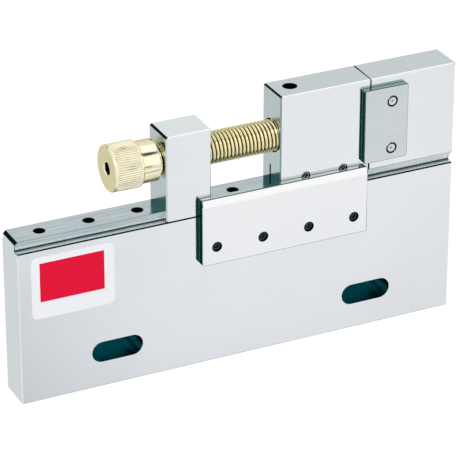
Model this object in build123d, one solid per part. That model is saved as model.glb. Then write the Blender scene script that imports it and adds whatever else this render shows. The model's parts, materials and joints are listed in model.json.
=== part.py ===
from build123d import *
import os

os.makedirs("parts", exist_ok=True)

# Precision vise on its long edge. Millimetres, +Z up.
# Drawn with x from the left end, y from the front face towards the back and z from the bottom.
# Every piece is moved at the end, so that the origin is the middle of the body's bottom face.

# Body
length = 235.0
thickness = 19.0
plate_height = 81.2
rail_rise = 4.9
jaw_rise = 49.4
fixed_jaw_length = 47.5
rail_height = plate_height + rail_rise
jaw_height = rail_height + jaw_rise
jaw_face_x = length - fixed_jaw_length

# Rail and its feet
rail_front = 3.0
rail_lean = 0.4
rail_back = 0.9
relief_depth = 0.5
relief_height = 0.7
jaw_relief_height = 6.0
jaw_relief_bevel = 1.5

# Mounting slots
slot_width = 11.0
slot_length = 27.0
slot_height = 18.8
slot_from_left = 50.6
slot_from_right = 47.9
slot_x = (slot_from_left, length - slot_from_right)

# Screw line, shared by the index holes
screw_wall = 1.5
screw_offset = 0.5
screw_above_rail = 25.2
axis_y = thickness / 2 + screw_offset
axis_z = rail_height + screw_above_rail

# Index holes, counted back from the fixed jaw for as far as the rail goes
hole_pitch = 25.5
last_hole_gap = 70.0
hole_edge = 12.0
pin_diameter = 6.0
hole_depth = 9.0
last_hole_x = jaw_face_x - last_hole_gap
hole_count = int((last_hole_x - hole_edge) / hole_pitch) + 1

# Fits
running_clearance = 0.05
screw_clearance = 0.05
rail_clearance = 0.04
closed_gap = 0.03
seam = 0.3
overcut = 1.0

# Nut block
nut_wall = 7.0
nut_length = 23.8
pin_from_nut_end = 14.5

# Moving jaw
moving_jaw_length = 49.0
slit_width = 1.5
slit_offset = 1.0
slit_rise = 9.3

# Lead screw
screw_diameter = thickness - 2 * screw_wall
knob_diameter = 23.4
knob_length = 14.8
knob_gap = 2.4
knob_chamfer = 1.0
knurl_count = 60
knurl_depth = 0.35
collar_diameter = 21.0
collar_length = 9.4
journal_step = 2.0
journal_length = 14.5
mouth_clearance = 0.6
mouth_depth = 3.0
groove_width = 3.2
groove_depth = 1.8
drive_socket = 6.0
drive_depth = 7.0

# Retaining screw
retainer_diameter = 7.4
retainer_sink = 5.0
retainer_above_journal = 4.2
retainer_tip = 2.8
retainer_from_end = 9.8

# Gib screws
gib_diameter = 4.8
gib_x = (14.1, 34.6)
gib_above_rail = 4.4
gib_sink = 0.3

# Index pin
pin_length = 12.0
pin_lift = 0.4
pin_travel = 6.5
stud_diameter = 3.0
stud_height = 9.5
stud_sink = 0.6

# Guide plate
guide_length = 90.0
guide_height = 35.0
guide_thickness = 4.5
guide_above_rail = 4.4
guide_from_jaw = 2.8
guide_chamfer_deep = 1.4
guide_chamfer_high = 3.6
guide_screws = 4
guide_screw_edge = 7.5
guide_screw_z = 9.4

# Guide screws
head_diameter = 5.2
head_height = 2.2
head_sink = 1.0
guide_shank = 3.0
guide_shank_length = 9.0

# Support plate
support_length = 24.0
support_thickness = 3.0
support_overhang = 4.4
support_below_top = 4.5
support_above_guide = 1.1
support_corner = 1.2
support_screw_x = 15.1
support_screw_low = 6.2
support_screw_high = 8.0
button_diameter = 5.8
button_height = 1.6
button_shank = 3.4
button_shank_length = 7.0

# Label
label_length = 43.0
label_height = 32.8
label_thickness = 0.2
label_x = 6.7
label_below_plate_top = 3.9
label_radius = 3.0

# Edges
edge_bevel = 0.6
rail_chamfer = 1.5
nut_chamfer = 1.0
jaw_chamfer = 0.8
small_socket = 2.0
screw_socket = 2.5
retainer_socket = 4.0


def bar(points, start, end):
    """A bar along x whose cross-section is given as (y, z) points."""
    outline = Plane.YZ * make_face(Polyline(*points, close=True))
    return Pos(start, 0, 0) * extrude(outline, end - start)


def slab(x0, x1, y0, y1, z0, z1):
    """A rectangular block between two corners."""
    middle = Pos((x0 + x1) / 2, (y0 + y1) / 2, (z0 + z1) / 2)
    return middle * Box(x1 - x0, y1 - y0, z1 - z0)


def rod_x(diameter, x0, x1, y, z):
    """A round bar along x."""
    return Pos((x0 + x1) / 2, y, z) * Rot(0, 90, 0) * Cylinder(diameter / 2, x1 - x0)


def rod_y(diameter, x, y0, y1, z):
    """A round bar along y."""
    return Pos(x, (y0 + y1) / 2, z) * Rot(90, 0, 0) * Cylinder(diameter / 2, y1 - y0)


def rod_z(diameter, x, y, z0, z1):
    """A round bar along z."""
    return Pos(x, y, (z0 + z1) / 2) * Cylinder(diameter / 2, z1 - z0)


def hexagon(across_flats):
    """A flat hexagon with a corner straight up its second axis."""
    return RegularPolygon(across_flats / 2, 6, major_radius=False, rotation=30)


def socket_y(across_flats, x, y, z, depth):
    """A hexagon socket that opens towards the front."""
    return Pos(x, y, z) * Rot(-90, 0, 0) * extrude(hexagon(across_flats), depth)


def socket_z(across_flats, x, y, z, depth):
    """A hexagon socket that opens upwards."""
    return Pos(x, y, z) * extrude(hexagon(across_flats), -depth)


def end_chamfer(x, z, size):
    """The wedge that takes off a left-hand top edge."""
    points = [
        (x - overcut, z + overcut),
        (x + size + overcut, z + overcut),
        (x - overcut, z - size - overcut),
    ]
    wedge = Plane.XZ * make_face(Polyline(*points, close=True))
    return Pos(0, thickness + overcut, 0) * extrude(wedge, thickness + 2 * overcut)


def front_bevel(x, y, size, z0, z1, side):
    """The wedge that takes off a vertical front edge, on the left with side 1 or the right with -1."""
    points = [
        (x - side * overcut, y - overcut),
        (x + side * (size + overcut), y - overcut),
        (x - side * overcut, y + size + overcut),
    ]
    return Pos(0, 0, z0) * extrude(make_face(Polyline(*points, close=True)), z1 - z0)


def saddle(start, end, top):
    """A block that rides on the rail, with a cheek down each side of it."""
    front = rail_clearance
    back = thickness
    inner_top = rail_height + rail_clearance
    cheek_foot = plate_height + seam
    lean = rail_lean * (rail_height - cheek_foot) / (rail_height - plate_height - relief_height)
    points = [
        (front, cheek_foot),
        (rail_front + lean - rail_clearance, cheek_foot),
        (rail_front - rail_clearance, inner_top),
        (back - rail_back + rail_clearance, inner_top),
        (back - rail_back + rail_clearance, cheek_foot),
        (back, cheek_foot),
        (back, top - edge_bevel),
        (back - edge_bevel, top),
        (front + edge_bevel, top),
        (front, top - edge_bevel),
    ]
    return bar(points, start, end)


# Body: plate, rail and fixed jaw in one piece
rail_section = [
    (0, 0),
    (thickness, 0),
    (thickness, plate_height),
    (thickness - rail_back - relief_depth, plate_height),
    (thickness - rail_back - relief_depth, plate_height + relief_height),
    (thickness - rail_back, plate_height + relief_height),
    (thickness - rail_back, rail_height),
    (rail_front, rail_height),
    (rail_front + rail_lean, plate_height + relief_height),
    (rail_front + rail_lean + relief_depth, plate_height + relief_height),
    (rail_front + rail_lean + relief_depth, plate_height),
    (edge_bevel, plate_height),
    (0, plate_height - edge_bevel),
]
jaw_section = [
    (0, 0),
    (thickness, 0),
    (thickness, jaw_height - edge_bevel),
    (thickness - edge_bevel, jaw_height),
    (edge_bevel, jaw_height),
    (0, jaw_height - edge_bevel),
    (0, plate_height + jaw_relief_height),
    (jaw_relief_bevel, plate_height + jaw_relief_height - jaw_relief_bevel),
    (rail_front + rail_lean, plate_height + relief_height),
    (rail_front + rail_lean + relief_depth, plate_height + relief_height),
    (rail_front + rail_lean + relief_depth, plate_height),
    (edge_bevel, plate_height),
    (0, plate_height - edge_bevel),
]
hole_x = [last_hole_x - i * hole_pitch for i in range(hole_count)]
body = bar(rail_section, 0, jaw_face_x) + bar(jaw_section, jaw_face_x, length)
for x in slot_x:
    opening = extrude(SlotOverall(slot_length, slot_width), thickness + 2 * overcut)
    body -= Pos(x, thickness + overcut, slot_height) * Rot(90, 0, 0) * opening
pin_bore = pin_diameter + 2 * running_clearance
for x in hole_x:
    body -= rod_z(pin_bore, x, axis_y, rail_height - hole_depth, rail_height + overcut)
body -= end_chamfer(0, rail_height, rail_chamfer)
body -= front_bevel(0, 0, edge_bevel, -overcut, plate_height + overcut, 1)
body -= front_bevel(length, 0, edge_bevel, -overcut, jaw_height + overcut, -1)

# Guide plate, screwed to the front of the body
guide_x = jaw_face_x - guide_from_jaw - guide_length
guide_top = rail_height + guide_above_rail
guide_bottom = guide_top - guide_height
guide_section = [
    (0, guide_bottom),
    (0, guide_top),
    (guide_chamfer_deep - guide_thickness, guide_top),
    (-guide_thickness, guide_top - guide_chamfer_high),
    (-guide_thickness, guide_bottom),
]
guide_plate = bar(guide_section, guide_x, guide_x + guide_length)
guide_plate -= front_bevel(
    guide_x, -guide_thickness, edge_bevel, guide_bottom - overcut, guide_top + overcut, 1
)
guide_screw_pitch = (guide_length - 2 * guide_screw_edge) / (guide_screws - 1)
guide_screw_x = [
    guide_x + guide_screw_edge + i * guide_screw_pitch for i in range(guide_screws)
]
screw_row_z = guide_bottom + guide_screw_z
seat_y = head_sink + head_height - guide_thickness
shank_end = seat_y + guide_shank_length
guide_screw_parts = []
for x in guide_screw_x:
    guide_plate -= rod_y(
        head_diameter + 2 * screw_clearance, x, -guide_thickness - overcut, seat_y, screw_row_z
    )
    shank_hole = rod_y(
        guide_shank + 2 * screw_clearance, x, seat_y - overcut, shank_end + seam, screw_row_z
    )
    guide_plate -= shank_hole
    body -= shank_hole
    screw = rod_y(head_diameter, x, seat_y - head_height, seat_y, screw_row_z)
    screw += rod_y(guide_shank, x, seat_y, shank_end, screw_row_z)
    screw -= socket_y(screw_socket, x, seat_y - head_height, screw_row_z, head_height * 0.6)
    guide_screw_parts.append(screw)

# Support plate, screwed to the front of the fixed jaw
support_x = jaw_face_x - support_overhang
support_top = jaw_height - support_below_top
support_bottom = guide_top + support_above_guide
support_plate = slab(
    support_x, support_x + support_length, -support_thickness, 0, support_bottom, support_top
)
corner_edges = support_plate.edges().filter_by(Axis.Y)
support_plate = fillet(corner_edges, support_corner)
button_seat = button_height - support_thickness
button_end = button_seat + button_shank_length
support_screw_parts = []
for z in (support_bottom + support_screw_low, support_top - support_screw_high):
    x = support_x + support_screw_x
    support_plate -= rod_y(
        button_diameter + 2 * screw_clearance, x, -support_thickness - overcut, button_seat, z
    )
    shank_hole = rod_y(
        button_shank + 2 * screw_clearance, x, button_seat - overcut, button_end + seam, z
    )
    support_plate -= shank_hole
    body -= shank_hole
    screw = rod_y(button_diameter, x, button_seat - button_height, button_seat, z)
    screw += rod_y(button_shank, x, button_seat, button_end, z)
    screw -= socket_y(small_socket, x, -support_thickness, z, button_height * 0.6)
    support_screw_parts.append(screw)

# Label on the body's front
label_face = RectangleRounded(label_length, label_height, label_radius)
label_top = plate_height - label_below_plate_top
label = (
    Pos(label_x + label_length / 2, 0, label_top - label_height / 2)
    * Rot(90, 0, 0)
    * extrude(label_face, label_thickness)
)

# Nut block, which steps along the rail from hole to hole
pin_x = last_hole_x - hole_pitch
nut_x = pin_x - pin_from_nut_end
nut_end = nut_x + nut_length
nut_height = axis_z + screw_diameter / 2 + nut_wall
pin_foot = rail_height + pin_lift
pin_top = pin_foot + pin_length
stud_z = pin_foot + stud_height
nut_block = saddle(nut_x, nut_end, nut_height)
screw_bore = screw_diameter + 2 * running_clearance
nut_block -= rod_x(screw_bore, nut_x - overcut, nut_end + overcut, axis_y, axis_z)
nut_block -= rod_z(pin_bore, pin_x, axis_y, rail_height - overcut, pin_top + seam)
stud_half = stud_diameter / 2 + 2 * running_clearance
nut_block -= slab(
    pin_x - stud_half,
    pin_x + stud_half,
    axis_y,
    thickness + overcut,
    stud_z - pin_travel - stud_half,
    stud_z + stud_half,
)
nut_block -= end_chamfer(nut_x, nut_height, nut_chamfer)
nut_block -= front_bevel(
    nut_x, rail_clearance, edge_bevel, plate_height, nut_height + overcut, 1
)

# Index pin with its release stud
index_pin = rod_z(pin_diameter, pin_x, axis_y, pin_foot, pin_top)
index_pin = chamfer(index_pin.edges().filter_by(GeomType.CIRCLE), 0.5)
index_pin += rod_y(stud_diameter, pin_x, axis_y, thickness - stud_sink, stud_z)

# Moving jaw, shown closed against the fixed jaw
jaw_end = jaw_face_x - closed_gap
jaw_x = jaw_end - moving_jaw_length
slit_top = rail_height + slit_rise
retainer_x = jaw_x + retainer_from_end
mouth_end = jaw_x + mouth_depth
journal_end = mouth_end + journal_length
mouth_diameter = screw_diameter + 2 * mouth_clearance
journal_diameter = screw_diameter - 2 * journal_step
retainer_seat = axis_z + journal_diameter / 2 + retainer_above_journal
slit_y = axis_y + slit_offset
moving_jaw = saddle(jaw_x, jaw_end, jaw_height)
moving_jaw -= rod_x(mouth_diameter, jaw_x - overcut, mouth_end, axis_y, axis_z)
moving_jaw -= rod_x(
    journal_diameter + 2 * running_clearance, jaw_x, journal_end + seam, axis_y, axis_z
)
moving_jaw -= slab(
    jaw_x - overcut,
    jaw_end + overcut,
    slit_y - slit_width / 2,
    slit_y + slit_width / 2,
    rail_height - overcut,
    slit_top,
)
retainer_bore = retainer_diameter + 2 * screw_clearance
moving_jaw -= rod_z(retainer_bore, retainer_x, axis_y, retainer_seat, jaw_height + overcut)
tip_bore = retainer_tip + 2 * running_clearance
moving_jaw -= rod_z(tip_bore, retainer_x, axis_y, axis_z, retainer_seat + overcut)
gib_z = rail_height + gib_above_rail
gib_end = slit_y + slit_width / 2
gib_screw_parts = []
for offset in gib_x:
    x = jaw_x + offset
    moving_jaw -= rod_y(gib_diameter + 2 * screw_clearance, x, -overcut, slit_y, gib_z)
    screw = rod_y(gib_diameter, x, rail_clearance + gib_sink, gib_end, gib_z)
    screw -= socket_y(screw_socket, x, rail_clearance + gib_sink, gib_z, screw_socket)
    gib_screw_parts.append(screw)
moving_jaw -= end_chamfer(jaw_x, jaw_height, jaw_chamfer)
moving_jaw -= front_bevel(
    jaw_x, rail_clearance, edge_bevel, plate_height, jaw_height + overcut, 1
)

# Retaining screw, whose tip runs in the lead screw's groove
groove_radius = journal_diameter / 2 - groove_depth
retainer_top = jaw_height - retainer_sink
retaining_screw = rod_z(retainer_diameter, retainer_x, axis_y, retainer_seat, retainer_top)
retaining_screw += rod_z(
    retainer_tip, retainer_x, axis_y, axis_z + groove_radius + seam, retainer_seat
)
retaining_screw -= socket_z(
    retainer_socket, retainer_x, axis_y, retainer_top, retainer_socket
)

# Lead screw with its knurled knob
collar_end = nut_x - knob_gap
collar_x = collar_end - collar_length
knob_x = collar_x - knob_length
knurl_outer = knob_diameter / 2
knurl_inner = knurl_outer - knurl_depth
ridge = []
for i in range(knurl_count):
    for share, radius in ((0.0, knurl_inner), (0.5, knurl_outer)):
        ridge.append(PolarLocations(radius, 1, 360 * (i + share) / knurl_count).locations[0])
ridge_points = [(place.position.X, place.position.Y) for place in ridge]
knurl = make_face(Polyline(*ridge_points, close=True))
lead_screw = Pos(knob_x + knob_chamfer, axis_y, axis_z) * Rot(0, 90, 0) * extrude(
    knurl, knob_length - 2 * knob_chamfer
)
rim_inner = knurl_outer - knob_chamfer
rim = make_face(
    Polyline(
        (0, 0),
        (rim_inner, 0),
        (knurl_inner, knob_chamfer),
        (knurl_inner, knob_length - knob_chamfer),
        (rim_inner, knob_length),
        (0, knob_length),
        close=True,
    )
)
rim_solid = revolve(Plane.XZ * rim, Axis.Z)
lead_screw += Pos(knob_x, axis_y, axis_z) * Rot(0, 90, 0) * rim_solid
lead_screw += rod_x(collar_diameter, collar_x, collar_end, axis_y, axis_z)
lead_screw += rod_x(screw_diameter, collar_end, mouth_end - seam, axis_y, axis_z)
lead_screw += rod_x(journal_diameter, mouth_end - seam, journal_end, axis_y, axis_z)
groove = rod_x(
    journal_diameter + overcut,
    retainer_x - groove_width / 2,
    retainer_x + groove_width / 2,
    axis_y,
    axis_z,
)
groove -= rod_x(2 * groove_radius, jaw_x, journal_end, axis_y, axis_z)
lead_screw -= groove
drive = Pos(knob_x - overcut, axis_y, axis_z) * Rot(0, 90, 0) * extrude(
    RegularPolygon(drive_socket / 2, 6, major_radius=False), drive_depth + overcut
)
lead_screw -= drive

pieces = {
    "body": body,
    "guide_plate": guide_plate,
    "support_plate": support_plate,
    "label": label,
    "nut_block": nut_block,
    "index_pin": index_pin,
    "moving_jaw": moving_jaw,
    "retaining_screw": retaining_screw,
    "lead_screw": lead_screw,
}
for i, screw in enumerate(guide_screw_parts, 1):
    pieces[f"guide_screw_{i}"] = screw
for i, screw in enumerate(support_screw_parts, 1):
    pieces[f"support_screw_{i}"] = screw
for i, screw in enumerate(gib_screw_parts, 1):
    pieces[f"gib_screw_{i}"] = screw

to_frame = Pos(-length / 2, -thickness / 2, 0)
for name, piece in pieces.items():
    export_step(to_frame * piece, f"parts/{name}.step")
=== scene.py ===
"""Dresses the precision vise: lapped and ground steel, a brass screw, socket screws and a label."""

import json
import logging
import math
from dataclasses import dataclass
from enum import Enum
from typing import Callable, Mapping, Sequence

import bpy
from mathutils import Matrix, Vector

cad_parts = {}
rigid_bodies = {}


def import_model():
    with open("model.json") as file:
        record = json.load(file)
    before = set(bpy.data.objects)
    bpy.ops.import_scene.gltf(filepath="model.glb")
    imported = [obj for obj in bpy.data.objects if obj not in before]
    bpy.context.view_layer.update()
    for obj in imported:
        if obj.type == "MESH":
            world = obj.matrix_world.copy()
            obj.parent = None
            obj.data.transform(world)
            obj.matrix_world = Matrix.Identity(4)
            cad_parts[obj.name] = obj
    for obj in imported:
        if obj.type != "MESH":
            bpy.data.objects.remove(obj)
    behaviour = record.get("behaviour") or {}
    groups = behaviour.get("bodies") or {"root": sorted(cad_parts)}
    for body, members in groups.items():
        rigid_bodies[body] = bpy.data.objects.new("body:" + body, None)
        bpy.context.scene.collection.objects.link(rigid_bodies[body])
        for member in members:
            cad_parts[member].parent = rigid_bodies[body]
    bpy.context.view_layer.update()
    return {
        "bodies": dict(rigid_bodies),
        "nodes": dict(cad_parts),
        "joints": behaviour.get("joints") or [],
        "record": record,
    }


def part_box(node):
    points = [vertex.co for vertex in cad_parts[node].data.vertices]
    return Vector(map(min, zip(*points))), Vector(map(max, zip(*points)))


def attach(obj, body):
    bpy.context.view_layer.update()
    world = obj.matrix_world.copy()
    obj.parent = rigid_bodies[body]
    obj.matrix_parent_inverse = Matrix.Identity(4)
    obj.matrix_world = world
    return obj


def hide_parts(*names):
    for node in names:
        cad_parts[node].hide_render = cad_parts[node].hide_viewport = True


MM = 0.001
FULL_TURN = 2 * math.pi
LOG = logging.getLogger("precision_vise")

Triple = tuple[float, float, float]
Colour = tuple[float, float, float]
Span = tuple[float, float]
Socket = bpy.types.NodeSocket
Sockets = Mapping[str, Socket]
Inputs = Mapping[str | int, object]
Coat = tuple[Socket, Socket, Socket]
Node = bpy.types.Node
Material = bpy.types.Material
Piece = bpy.types.Object

WHOLE: Span = (0.0, 1.0)
WHITE: Colour = (1.0, 1.0, 1.0)
X, Y, Z = range(3)
LEFT = Vector((-1.0, 0.0, 0.0))
FRONT = Vector((0.0, -1.0, 0.0))
UP = Vector((0.0, 0.0, 1.0))


def add_mesh(name: str, points: Sequence, faces: Sequence, material: Material) -> Piece:
    """Puts a mesh into the scene.

    Args:
        name: the piece's name.
        points: its corners, in metres.
        faces: the corners of each face, by number.
        material: what it is made of.

    Returns:
        The piece.
    """
    mesh = bpy.data.meshes.new(name)
    mesh.from_pydata([tuple(point) for point in points], [], faces)
    mesh.materials.append(material)
    piece = bpy.data.objects.new(name, mesh)
    bpy.context.scene.collection.objects.link(piece)
    return piece


def bands(rows: int, count: int, total: int) -> list[tuple[int, ...]]:
    """Joins neighbouring rings of points by faces.

    Args:
        rows: how many bands there are.
        count: how many points a ring has.
        total: how many points there are, after which the first ring follows again.

    Returns:
        The faces.
    """
    faces = []
    for first in range(0, rows * count, count):
        for step in range(count):
            here, there = first + step, first + (step + 1) % count
            faces.append((here, there, (there + count) % total, (here + count) % total))
    return faces


def set_up(thing: Piece, place: Vector, ahead: Vector) -> None:
    """Puts a camera or a lamp into the scene.

    Args:
        thing: the camera or lamp.
        place: where it stands, in metres.
        ahead: which way it looks.
    """
    thing.location = place
    thing.rotation_mode = "QUATERNION"
    thing.rotation_quaternion = ahead.to_track_quat("-Z", "Y")
    bpy.context.scene.collection.objects.link(thing)


class Board:
    """Places and joins the nodes of one node tree. The relief's height is in mm."""

    relief_height = 0.02

    def __init__(self, tree: bpy.types.NodeTree) -> None:
        """Keeps the tree that the nodes go into."""
        self.tree = tree

    def add(self, kind: str, inputs: Inputs | None = None, **settings: object) -> Node:
        """Places a node.

        Args:
            kind: the end of the node's type name.
            inputs: what goes into it, by name or number.
            settings: properties of the node, by name.

        Returns:
            The new node.
        """
        node = self.tree.nodes.new("ShaderNode" + kind)
        for name, value in settings.items():
            setattr(node, name, value)
        self.feed(node, inputs or {})
        return node

    def feed(self, node: Node, inputs: Inputs) -> None:
        """Sets a node's inputs, or joins them to other nodes' outputs.

        Args:
            node: the node.
            inputs: values and outputs, by the input's name or number.
        """
        for name, value in inputs.items():
            socket = node.inputs[name]
            if isinstance(value, Socket):
                self.tree.links.new(value, socket)
            else:
                socket.default_value = (*value, 1.0) if socket.type == "RGBA" else value

    def work(self, kind: str, operation: str, *values: object) -> Node:
        """Places a Math or VectorMath node that works something out from values."""
        return self.add(kind, dict(enumerate(values)), operation=operation)

    def noise(self, place: Socket, scale: float, detail: float) -> Socket:
        """Gives noise at some coordinates, of a scale and with a number of finer layers."""
        return self.add("TexNoise", {"Vector": place, "Scale": scale, "Detail": detail}).outputs["Fac"]

    def spread(self, value: Socket, start: Span = WHOLE, end: Span = WHOLE) -> Socket:
        """Maps a value from one range to another."""
        limits = {"From Min": start[0], "From Max": start[1], "To Min": end[0], "To Max": end[1]}
        return self.add("MapRange", {"Value": value, **limits}).outputs["Result"]

    def blend(self, mask: Socket, low: Colour | Socket, high: Colour | Socket) -> Socket:
        """Mixes two colours by a mask, where 0 gives low and 1 gives high."""
        return self.add("Mix", {0: mask, 6: low, 7: high}, data_type="RGBA").outputs[2]

    def bump(self, height: Socket, strength: float) -> Socket:
        """Turns a height over the surface into a normal, with a strength from 0 to 1."""
        inputs = {"Height": height, "Strength": strength, "Distance": self.relief_height * MM}
        return self.add("Bump", inputs).outputs["Normal"]

    def show(self, seen: Socket, lit: Socket, output: str) -> None:
        """Shows one shader to the camera and another to light and reflections.

        Args:
            seen: the camera's shader.
            lit: the shader for all else.
            output: the end of the output node's type name.
        """
        by_camera = self.add("LightPath").outputs["Is Camera Ray"]
        choose = self.add("MixShader", {0: by_camera, 1: lit, 2: seen})
        self.add(output, {"Surface": choose.outputs[0]})


class EffectGroup:
    """A shader node group that several finishes share."""

    name: str
    inputs: dict[str, tuple[str, object]]
    outputs: tuple[str, ...]

    @classmethod
    def tree(cls) -> bpy.types.NodeTree:
        """Builds the group once.

        Returns:
            The group's node tree.
        """
        known = bpy.data.node_groups.get(cls.name)
        if known:
            return known
        tree = bpy.data.node_groups.new(cls.name, "ShaderNodeTree")
        for socket, (kind, value) in cls.inputs.items():
            made = tree.interface.new_socket(socket, in_out="INPUT", socket_type=kind)
            made.default_value = value
        for socket in cls.outputs:
            tree.interface.new_socket(socket, in_out="OUTPUT", socket_type="NodeSocketFloat")
        given = tree.nodes.new("NodeGroupInput")
        result = tree.nodes.new("NodeGroupOutput")
        board = Board(tree)
        board.feed(result, cls.fill(board, given.outputs))
        return tree

    @classmethod
    def fill(cls, board: Board, given: Sockets) -> Sockets:
        """Places the group's nodes; each effect has its own."""
        raise NotImplementedError

    @classmethod
    def place(cls, board: Board, **values: object) -> Sockets:
        """Places the group in a material with values of its own, and gives what it puts out."""
        return board.add("Group", values, node_tree=cls.tree()).outputs


class GrindLines(EffectGroup):
    """Fine parallel lines left by a grinding wheel or a lapping stone."""

    name = "grind_lines"
    inputs = {
        "Stretch": ("NodeSocketVector", (1.0, 1.0, 1.0)),
        "Contrast": ("NodeSocketFloat", 1.0),
    }
    outputs = ("Lines", "Haze")
    line_scale, line_detail = 900.0, 3.0
    band_scale, band_detail = 140.0, 2.0
    haze_scale, haze_detail = 18.0, 4.0
    line_span: Span = (0.65, 1.35)
    haze_span: Span = (0.35, 0.65)
    middle = 0.5

    @classmethod
    def fill(cls, board: Board, given: Sockets) -> Sockets:
        """Mixes fine lines with broader bands, and adds a slow haze.

        Args:
            board: the group's board.
            given: what the group is given.

        Returns:
            What it puts out.
        """
        place = board.add("TexCoord").outputs["Object"]
        drawn = board.work("VectorMath", "MULTIPLY", place, given["Stretch"]).outputs[0]
        fine = board.noise(drawn, cls.line_scale, cls.line_detail)
        band = board.noise(drawn, cls.band_scale, cls.band_detail)
        both = board.work("Math", "ADD", fine, band).outputs[0]
        centred = board.spread(both, cls.line_span, (-cls.middle, cls.middle))
        scaled = board.work("Math", "MULTIPLY", centred, given["Contrast"]).outputs[0]
        lifted = board.work("Math", "ADD", scaled, cls.middle)
        lifted.use_clamp = True
        haze = board.noise(place, cls.haze_scale, cls.haze_detail)
        return {"Lines": lifted.outputs[0], "Haze": board.spread(haze, cls.haze_span)}


class RingLines(EffectGroup):
    """Fine rings left by a turning tool round the screw's line."""

    name = "ring_lines"
    inputs = {
        "Centre": ("NodeSocketVector", (0.0, 0.0, 0.0)),
        "Root": ("NodeSocketFloat", 0.0),
        "Crest": ("NodeSocketFloat", 0.001),
    }
    outputs = ("Rings", "Tarnish", "RootShade")
    ring_scale, ring_detail = 2600.0, 2.0
    tarnish_scale, tarnish_detail = 130.0, 4.0
    ring_span: Span = (0.3, 0.7)
    tarnish_span: Span = (0.4, 0.75)

    @classmethod
    def fill(cls, board: Board, given: Sockets) -> Sockets:
        """Reads the distance from the screw's line and the place along it.

        Painted shade deepens from a crest's radius to a root's. Tarnish lies in soft clouds.

        Args:
            board: the group's board.
            given: what the group is given.

        Returns:
            What it puts out.
        """
        place = board.add("TexCoord").outputs["Object"]
        offset = board.work("VectorMath", "SUBTRACT", place, given["Centre"]).outputs[0]
        parts = board.add("SeparateXYZ", {0: offset}).outputs
        across = board.add("CombineXYZ", {"Y": parts["Y"], "Z": parts["Z"]}).outputs[0]
        radius = board.work("VectorMath", "LENGTH", across).outputs["Value"]
        ring = board.add("CombineXYZ", {"X": parts["X"], "Y": radius}).outputs[0]
        lines = board.noise(ring, cls.ring_scale, cls.ring_detail)
        tarnish = board.noise(place, cls.tarnish_scale, cls.tarnish_detail)
        limits = {"From Min": given["Crest"], "From Max": given["Root"]}
        return {
            "Rings": board.spread(lines, cls.ring_span),
            "Tarnish": board.spread(tarnish, cls.tarnish_span),
            "RootShade": board.add("MapRange", {"Value": radius, **limits}).outputs["Result"],
        }


class Finish:
    """Something that a surface is made of. It builds its material once and gives it again."""

    name: str
    rough: Span
    metal: float = 1.0
    gloss: float = 0.5
    relief: float = 0.0
    glance: Colour = WHITE

    def material(self) -> Material:
        """Builds the material on first use.

        Returns:
            The material.
        """
        known = bpy.data.materials.get(self.name)
        if known:
            return known
        material = bpy.data.materials.new(self.name)
        material.use_nodes = True
        board = Board(material.node_tree)
        tone, wear, lines = self.paint(board)
        inputs = {
            "Metallic": self.metal,
            "Specular IOR Level": self.gloss,
            "Specular Tint": self.glance,
            "Base Color": tone,
            "Roughness": board.spread(wear, WHOLE, self.rough),
        }
        if self.relief:
            inputs["Normal"] = board.bump(lines, self.relief)
        board.feed(material.node_tree.nodes["Principled BSDF"], inputs)
        return material

    def paint(self, board: Board) -> Coat:
        """Gives the colour, the wear from smooth to rough, and the lines' height."""
        raise NotImplementedError


class Grain(Enum):
    """Which way a surface's lines run, and how fine they are."""

    EVEN = (1.0, 1.0, 1.0)
    FINE = (3.0, 3.0, 3.0)
    FINER = (4.0, 4.0, 4.0)
    UPRIGHT = (6.0, 6.0, 1.0)
    LONG_UPRIGHT = (6.0, 6.0, 0.6)
    LENGTHWISE = (1.0, 6.0, 6.0)
    LONG_LENGTHWISE = (0.6, 6.0, 6.0)
    CROSSWISE = (6.0, 1.0, 6.0)
    WHEEL = (0.12, 9.0, 9.0)


@dataclass(frozen=True)
class SteelFinish(Finish):
    """Bare steel, with the lines that its last machining left."""

    name: str
    light: Colour
    dark: Colour
    rough: Span
    grain: Grain
    contrast: float
    relief: float
    glance: Colour = WHITE

    def paint(self, board: Board) -> Coat:
        """Lets the lines vary the colour and the relief, and the haze the roughness."""
        given = GrindLines.place(board, Stretch=self.grain.value, Contrast=self.contrast)
        tone = board.blend(given["Lines"], self.dark, self.light)
        return tone, given["Haze"], given["Lines"]


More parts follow.
